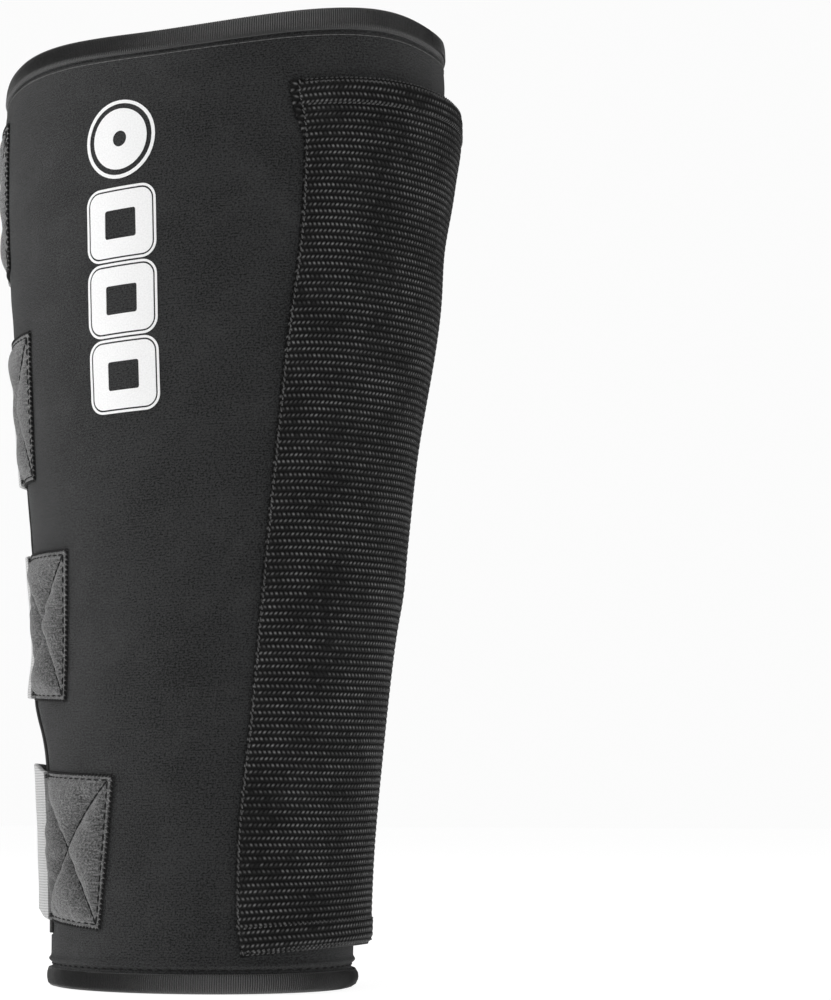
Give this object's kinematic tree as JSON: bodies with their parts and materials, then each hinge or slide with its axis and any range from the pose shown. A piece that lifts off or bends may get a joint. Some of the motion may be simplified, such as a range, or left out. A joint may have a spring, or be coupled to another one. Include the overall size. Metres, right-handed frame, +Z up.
{
  "type": "shin guard",
  "caption": "Slip-on shin guard: tapered neoprene sleeve with a padded webbing shin pocket, knit bindings and hook-and-loop straps across a ribbed elastic calf window.",
  "frame": {"origin": "centre of the bounding box on the plane that the bottom hem stands on", "axes": "+Z up the leg, -Y to the shin, +Y to the calf, -X to the outer side of a right leg"},
  "size_m": [0.1312, 0.1686, 0.3203],
  "materials": {
    "neoprene": "matte knit-faced foam rubber",
    "rib_knit": "matte rib knit",
    "webbing": "coarse woven nylon",
    "ribbed_elastic": "ribbed elastic",
    "edge_tape": "smooth woven tape",
    "grey_elastic": "finely ribbed elastic",
    "grey_tab": "woven tape",
    "brushed_patch": "brushed loop fabric",
    "hook": "moulded hook tape",
    "plate": "polyethylene sheet",
    "foam": "closed-cell foam",
    "thread": "sewing thread",
    "print": "screen-printed ink"
  },
  "bodies": {
    "sleeve": {"lateral_panel": "neoprene", "medial_panel": "neoprene", "hem_binding": "rib_knit", "rim_binding": "rib_knit", "rear_gusset": "ribbed_elastic", "lateral_edge_tape": "edge_tape", "medial_edge_tape": "edge_tape", "front_cover": "webbing", "shin_plate": "plate", "foam_pad": "foam", "anchor_patch_1": "brushed_patch", "anchor_patch_2": "brushed_patch", "anchor_patch_3": "brushed_patch", "anchor_patch_4": "brushed_patch"},
    "strap_1": {"elastic_band_1": "grey_elastic"},
    "tab_1": {"strap_tab_1": "grey_tab", "hook_tape_1": "hook"},
    "strap_2": {"elastic_band_2": "grey_elastic"},
    "tab_2": {"strap_tab_2": "grey_tab", "hook_tape_2": "hook"},
    "strap_3": {"elastic_band_3": "grey_elastic"},
    "tab_3": {"strap_tab_3": "grey_tab", "hook_tape_3": "hook"},
    "strap_4": {"elastic_band_4": "grey_elastic"},
    "tab_4": {"strap_tab_4": "grey_tab", "hook_tape_4": "hook"}
  },
  "joints": [
    {"name": "strap_1_open", "type": "hinge", "parent": "sleeve", "child": "strap_1", "pos_m": [-0.0242, 0.05465, 0.047], "axis": [0.0506, 0.0772, 0.9957], "range_deg": [0, 120]},
    {"name": "tab_1_peel", "type": "hinge", "parent": "strap_1", "child": "tab_1", "pos_m": [0.01133, 0.06143, 0.04694], "axis": [0.0448, 0.0176, 0.9988], "range_deg": [0, 80]},
    {"name": "strap_2_open", "type": "hinge", "parent": "sleeve", "child": "strap_2", "pos_m": [-0.02062, 0.06271, 0.12102], "axis": [0.0486, 0.1361, 0.9895], "range_deg": [0, 120]},
    {"name": "tab_2_peel", "type": "hinge", "parent": "strap_2", "child": "tab_2", "pos_m": [0.01563, 0.0651, 0.12097], "axis": [0.0705, 0.0771, 0.9945], "range_deg": [0, 80]},
    {"name": "strap_3_open", "type": "hinge", "parent": "sleeve", "child": "strap_3", "pos_m": [-0.01604, 0.07334, 0.19473], "axis": [0.0763, 0.1422, 0.9869], "range_deg": [0, 120]},
    {"name": "tab_3_peel", "type": "hinge", "parent": "strap_3", "child": "tab_3", "pos_m": [0.0214, 0.07117, 0.19482], "axis": [0.0829, 0.0801, 0.9933], "range_deg": [0, 80]},
    {"name": "strap_4_open", "type": "hinge", "parent": "sleeve", "child": "strap_4", "pos_m": [-0.00906, 0.08147, 0.26827], "axis": [0.1106, 0.0685, 0.9915], "range_deg": [0, 120]},
    {"name": "tab_4_peel", "type": "hinge", "parent": "strap_4", "child": "tab_4", "pos_m": [0.02708, 0.075, 0.26861], "axis": [0.0671, 0.0172, 0.9976], "range_deg": [0, 80]}
  ]
}
